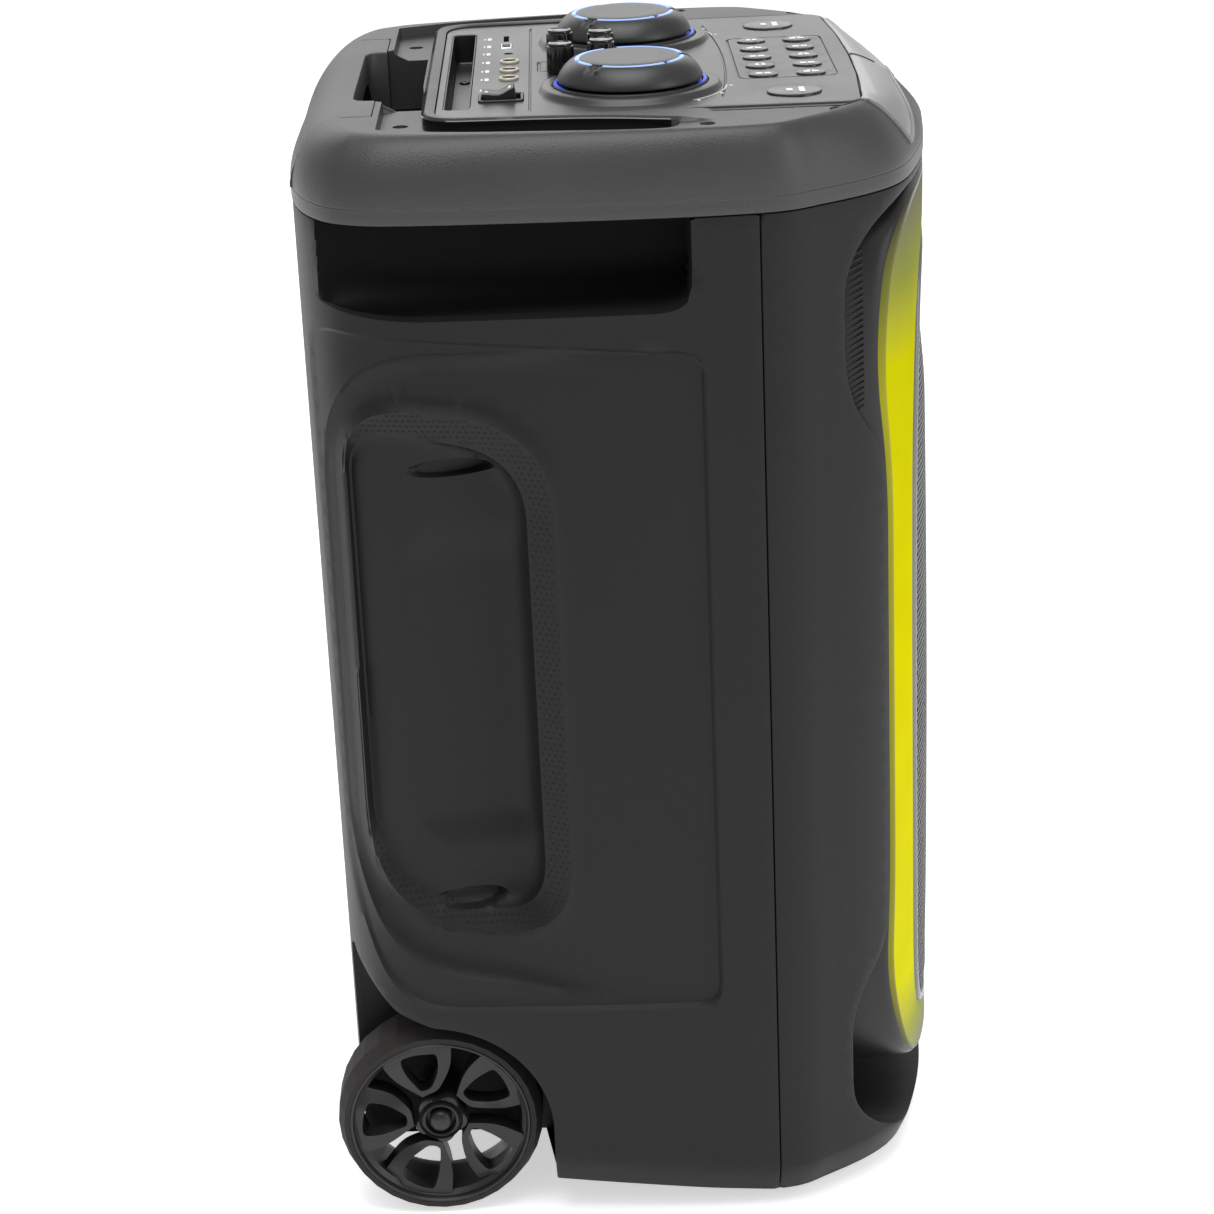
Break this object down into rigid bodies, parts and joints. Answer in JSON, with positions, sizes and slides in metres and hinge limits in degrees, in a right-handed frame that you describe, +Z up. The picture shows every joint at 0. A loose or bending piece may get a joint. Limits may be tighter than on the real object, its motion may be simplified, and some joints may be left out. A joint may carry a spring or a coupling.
{
  "type": "party speaker",
  "caption": "Tall wheeled party loudspeaker with a lit ring round a bulging front grille, a knob and button console on top and a telescoping trolley handle.",
  "frame": {"origin": "centre of the footprint at floor level, where the two wheels and two front feet stand", "axes": "+Z up, -Y towards the front grille, +X to the right for someone who stands in front and faces the grille"},
  "size_m": [0.4042, 0.3852, 0.6974],
  "materials": {
    "cabinet_plastic": "fine grained, matt charcoal",
    "satin_plastic": "smooth satin black",
    "gloss_plastic": "polished black",
    "lit_lens": "glossy lens lit yellow from behind",
    "blue_light": "lit blue light guide",
    "grille_metal": "satin black paint on perforated sheet",
    "bezel_plastic": "smooth grey",
    "cone_paper": "matt coated paper cone with a rubber surround",
    "steel": "brushed",
    "tread_rubber": "matt, slightly warm black",
    "circuit_board": "satin green board",
    "jack_plastic": "cream moulded ring"
  },
  "bodies": {
    "cabinet": {"rear_shell": "cabinet_plastic", "front_shell": "cabinet_plastic", "top_cap": "cabinet_plastic", "ring_housing": "cabinet_plastic", "console_panel": "satin_plastic", "baffle": "satin_plastic", "woofer_basket_lower": "satin_plastic", "woofer_basket_upper": "satin_plastic", "battery_pack": "satin_plastic", "wheel_bolt_left": "satin_plastic", "wheel_bolt_right": "satin_plastic", "handle_sleeve_left": "satin_plastic", "handle_sleeve_right": "satin_plastic", "rocker_frame": "satin_plastic", "power_inlet": "satin_plastic", "front_trim": "gloss_plastic", "ring_lens": "lit_lens", "knob_light_left": "blue_light", "knob_light_right": "blue_light", "front_grille": "grille_metal", "grille_bezel": "bezel_plastic", "wheel_axle": "steel", "usb_port": "steel", "foot_left": "tread_rubber", "foot_right": "tread_rubber", "amplifier_board": "circuit_board", "jack_1": "jack_plastic", "jack_2": "jack_plastic", "jack_3": "jack_plastic"},
    "handle": {"handle_grip": "cabinet_plastic", "handle_tube_inner_left": "steel", "handle_tube_inner_right": "steel"},
    "handle_middle": {"handle_tube_middle_left": "steel", "handle_tube_middle_right": "steel"},
    "wheel_left": {"tyre_left": "tread_rubber", "wheel_rim_left": "satin_plastic"},
    "wheel_right": {"tyre_right": "tread_rubber", "wheel_rim_right": "satin_plastic"},
    "volume_knob_left": {"volume_knob_left": "satin_plastic"},
    "volume_knob_right": {"volume_knob_right": "satin_plastic"},
    "level_knob_1": {"level_knob_1": "gloss_plastic"},
    "level_knob_2": {"level_knob_2": "gloss_plastic"},
    "level_knob_3": {"level_knob_3": "gloss_plastic"},
    "level_knob_4": {"level_knob_4": "gloss_plastic"},
    "mode_button_1": {"mode_button_1": "satin_plastic"},
    "mode_button_2": {"mode_button_2": "satin_plastic"},
    "button_1": {"button_1": "satin_plastic"},
    "button_2": {"button_2": "satin_plastic"},
    "button_3": {"button_3": "satin_plastic"},
    "button_4": {"button_4": "satin_plastic"},
    "button_5": {"button_5": "satin_plastic"},
    "button_6": {"button_6": "satin_plastic"},
    "button_7": {"button_7": "satin_plastic"},
    "button_8": {"button_8": "satin_plastic"},
    "button_9": {"button_9": "satin_plastic"},
    "button_10": {"button_10": "satin_plastic"},
    "rocker_paddle": {"rocker_paddle": "gloss_plastic"},
    "woofer_cone_lower": {"woofer_cone_lower": "cone_paper"},
    "woofer_cone_upper": {"woofer_cone_upper": "cone_paper"}
  },
  "joints": [
    {"name": "handle_slide", "type": "slide", "parent": "cabinet", "child": "handle", "axis": [0, 0, 1], "range_m": [0, 0.4]},
    {"name": "handle_middle_slide", "type": "slide", "parent": "cabinet", "child": "handle_middle", "axis": [0, 0, 1], "range_m": [0, 0.2]},
    {"name": "wheel_spin_left", "type": "hinge", "parent": "cabinet", "child": "wheel_left", "pos_m": [-0.1625, 0.1285, 0.0634], "axis": [1, 0, 0], "continuous": true},
    {"name": "wheel_spin_right", "type": "hinge", "parent": "cabinet", "child": "wheel_right", "pos_m": [0.1625, 0.1285, 0.0634], "axis": [1, 0, 0], "continuous": true},
    {"name": "volume_turn_left", "type": "hinge", "parent": "cabinet", "child": "volume_knob_left", "pos_m": [-0.0756, -0.01475, 0.69], "axis": [0, 0, 1], "range_deg": [-150, 150]},
    {"name": "volume_turn_right", "type": "hinge", "parent": "cabinet", "child": "volume_knob_right", "pos_m": [0.0756, -0.01475, 0.69], "axis": [0, 0, 1], "range_deg": [-150, 150]},
    {"name": "level_turn_1", "type": "hinge", "parent": "cabinet", "child": "level_knob_1", "pos_m": [-0.022, 0.025, 0.688], "axis": [0, 0, 1], "range_deg": [-150, 150]},
    {"name": "level_turn_2", "type": "hinge", "parent": "cabinet", "child": "level_knob_2", "pos_m": [0.022, 0.025, 0.688], "axis": [0, 0, 1], "range_deg": [-150, 150]},
    {"name": "level_turn_3", "type": "hinge", "parent": "cabinet", "child": "level_knob_3", "pos_m": [-0.015, 0.0005, 0.688], "axis": [0, 0, 1], "range_deg": [-150, 150]},
    {"name": "level_turn_4", "type": "hinge", "parent": "cabinet", "child": "level_knob_4", "pos_m": [0.015, 0.0005, 0.688], "axis": [0, 0, 1], "range_deg": [-150, 150]},
    {"name": "mode_press_1", "type": "slide", "parent": "cabinet", "child": "mode_button_1", "axis": [0, 0, -1], "range_m": [0, 0.0015], "stiffness_N_per_m": 400, "springref_m": -0.0005},
    {"name": "mode_press_2", "type": "slide", "parent": "cabinet", "child": "mode_button_2", "axis": [0, 0, -1], "range_m": [0, 0.0015], "stiffness_N_per_m": 400, "springref_m": -0.0005},
    {"name": "press_1", "type": "slide", "parent": "cabinet", "child": "button_1", "axis": [0, 0, -1], "range_m": [0, 0.0015], "stiffness_N_per_m": 400, "springref_m": -0.0005},
    {"name": "press_2", "type": "slide", "parent": "cabinet", "child": "button_2", "axis": [0, 0, -1], "range_m": [0, 0.0015], "stiffness_N_per_m": 400, "springref_m": -0.0005},
    {"name": "press_3", "type": "slide", "parent": "cabinet", "child": "button_3", "axis": [0, 0, -1], "range_m": [0, 0.0015], "stiffness_N_per_m": 400, "springref_m": -0.0005},
    {"name": "press_4", "type": "slide", "parent": "cabinet", "child": "button_4", "axis": [0, 0, -1], "range_m": [0, 0.0015], "stiffness_N_per_m": 400, "springref_m": -0.0005},
    {"name": "press_5", "type": "slide", "parent": "cabinet", "child": "button_5", "axis": [0, 0, -1], "range_m": [0, 0.0015], "stiffness_N_per_m": 400, "springref_m": -0.0005},
    {"name": "press_6", "type": "slide", "parent": "cabinet", "child": "button_6", "axis": [0, 0, -1], "range_m": [0, 0.0015], "stiffness_N_per_m": 400, "springref_m": -0.0005},
    {"name": "press_7", "type": "slide", "parent": "cabinet", "child": "button_7", "axis": [0, 0, -1], "range_m": [0, 0.0015], "stiffness_N_per_m": 400, "springref_m": -0.0005},
    {"name": "press_8", "type": "slide", "parent": "cabinet", "child": "button_8", "axis": [0, 0, -1], "range_m": [0, 0.0015], "stiffness_N_per_m": 400, "springref_m": -0.0005},
    {"name": "press_9", "type": "slide", "parent": "cabinet", "child": "button_9", "axis": [0, 0, -1], "range_m": [0, 0.0015], "stiffness_N_per_m": 400, "springref_m": -0.0005},
    {"name": "press_10", "type": "slide", "parent": "cabinet", "child": "button_10", "axis": [0, 0, -1], "range_m": [0, 0.0015], "stiffness_N_per_m": 400, "springref_m": -0.0005},
    {"name": "rocker_tilt", "type": "hinge", "parent": "cabinet", "child": "rocker_paddle", "pos_m": [-0.091, 0.06, 0.678], "axis": [1, 0, 0], "range_deg": [0, 20]},
    {"name": "cone_travel_lower", "type": "slide", "parent": "cabinet", "child": "woofer_cone_lower", "axis": [0, -1, 0], "range_m": [-0.004, 0.004], "stiffness_N_per_m": 2500},
    {"name": "cone_travel_upper", "type": "slide", "parent": "cabinet", "child": "woofer_cone_upper", "axis": [0, -1, 0], "range_m": [-0.004, 0.004], "stiffness_N_per_m": 2500}
  ],
  "couplings": [
    {"joint": "handle_middle_slide", "follows": "handle_slide", "ratio": 0.5}
  ]
}
